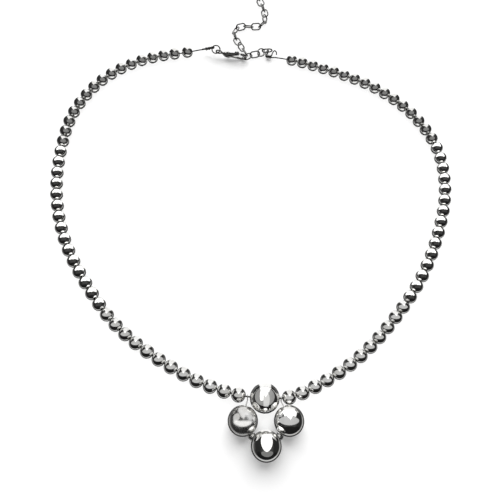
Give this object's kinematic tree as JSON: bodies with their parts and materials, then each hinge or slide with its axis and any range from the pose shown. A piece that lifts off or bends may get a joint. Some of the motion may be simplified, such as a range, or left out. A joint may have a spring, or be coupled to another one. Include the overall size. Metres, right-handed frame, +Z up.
{
  "type": "bead necklace",
  "caption": "Choker-length necklace of round polished silver beads on wire, with a drop of big silver balls, a lobster clasp and an extender chain, laid open in a loop.",
  "frame": {"origin": "on the table, under the middle of the whole necklace as it lies", "axes": "+X to the right of a viewer who has the drop nearest, +Y from the drop towards the clasp and the chain's free end, +Z up from the table"},
  "size_m": [0.1344, 0.1726, 0.0083],
  "materials": {
    "string_beads": "high polish silver, slightly satin from wear",
    "drop_balls": "high polish silver",
    "wire": "fine stranded jeweller's wire, thinly coated",
    "crimps": "polished silver tube",
    "clasp": "polished cast silver",
    "chain": "polished silver wire, soldered"
  },
  "bodies": {
    "necklace": {"bead_string_left": "string_beads", "bead_string_right": "string_beads", "stringing_wire": "wire", "pendant_ball_top": "drop_balls", "pendant_ball_left": "drop_balls", "pendant_ball_right": "drop_balls", "pendant_ball_bottom": "drop_balls", "joint_bead_left": "drop_balls", "joint_bead_right": "drop_balls", "pendant_wire": "wire", "crimp_left": "crimps", "crimp_right": "crimps", "clasp_ring": "chain", "clasp_body": "clasp", "lever_pin": "clasp", "chain_link_a": "chain", "chain_link_b": "chain", "chain_link_c": "chain", "hooked_link": "chain", "free_link_01": "chain", "free_link_02": "chain", "free_link_03": "chain", "free_link_04": "chain", "free_link_05": "chain", "free_link_06": "chain", "free_link_07": "chain", "free_link_08": "chain", "free_link_09": "chain", "free_link_10": "chain", "free_link_11": "chain", "free_link_12": "chain", "free_link_13": "chain", "free_link_14": "chain"},
    "clasp_lever": {"clasp_lever": "clasp"}
  },
  "joints": [
    {"name": "clasp_lever_hinge", "type": "hinge", "parent": "necklace", "child": "clasp_lever", "pos_m": [-0.00826, 0.05511, 0.00212], "axis": [0.1975, 0.9542, 0.2246], "range_deg": [0, 20], "stiffness_Nm_per_rad": 0.005, "springref_deg": -11.46}
  ]
}
